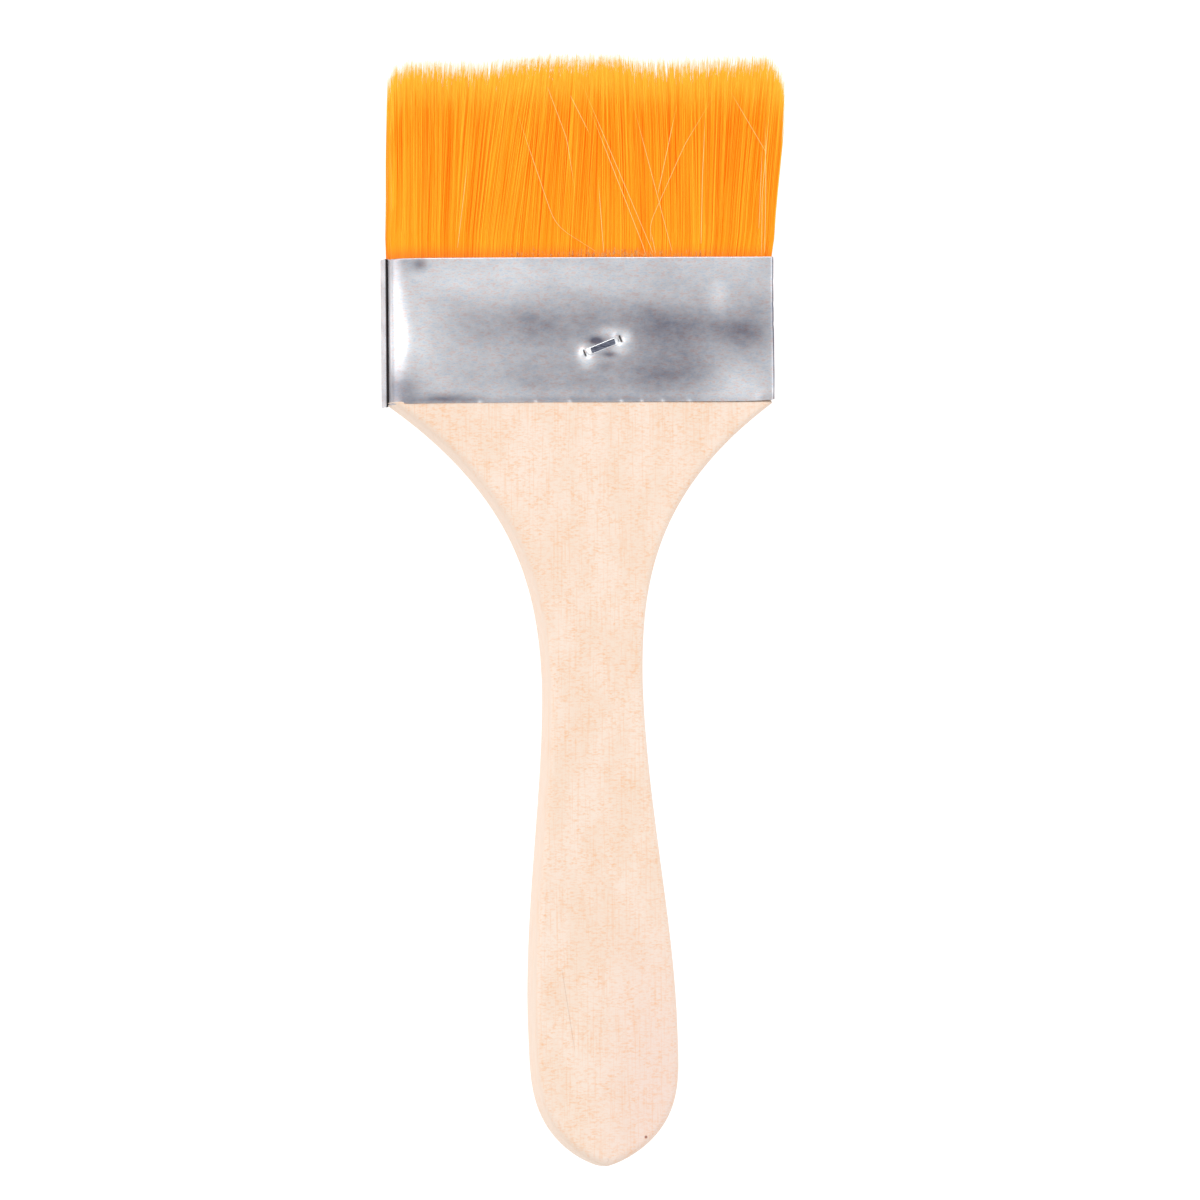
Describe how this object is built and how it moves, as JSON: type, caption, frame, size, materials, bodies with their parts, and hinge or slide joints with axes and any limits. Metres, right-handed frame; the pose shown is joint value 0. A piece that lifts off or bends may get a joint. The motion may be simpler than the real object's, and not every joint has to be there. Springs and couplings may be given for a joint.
{
  "type": "pastry brush",
  "caption": "Flat wide pastry brush with a waisted wooden handle, a folded tinplate ferrule held by staples and flexing filament banks.",
  "frame": {"origin": "centre of the ferrule's back face, on the plane that the brush rests on", "axes": "+Y towards the filament tips, +X to the right seen from the front, +Z out of the broad front face"},
  "size_m": [0.0799, 0.2174, 0.0095],
  "materials": {
    "birch": "plain sanded birch, unlacquered, with short ray flecks",
    "tinplate": "bright tin-plated sheet, slightly cloudy and dented",
    "staple_wire": "flat galvanised staple wire",
    "filament": "fine golden-orange synthetic filament, paler at the flagged tips",
    "resin": "hard amber-brown setting resin",
    "spacer_wood": "rough-sawn strip"
  },
  "bodies": {
    "brush": {"handle": "birch", "ferrule": "tinplate", "staple_front": "staple_wire", "staple_back": "staple_wire", "setting_resin": "resin", "spacer_strip": "spacer_wood", "filament_roots": "filament"},
    "bristles": {"filaments_front": "filament", "filaments_back": "filament"}
  },
  "joints": [
    {"name": "bristle_flex", "type": "hinge", "parent": "brush", "child": "bristles", "pos_m": [0, 0.01585, 0.00475], "axis": [1, 0, 0], "range_deg": [-35, 35], "stiffness_Nm_per_rad": 0.3}
  ]
}
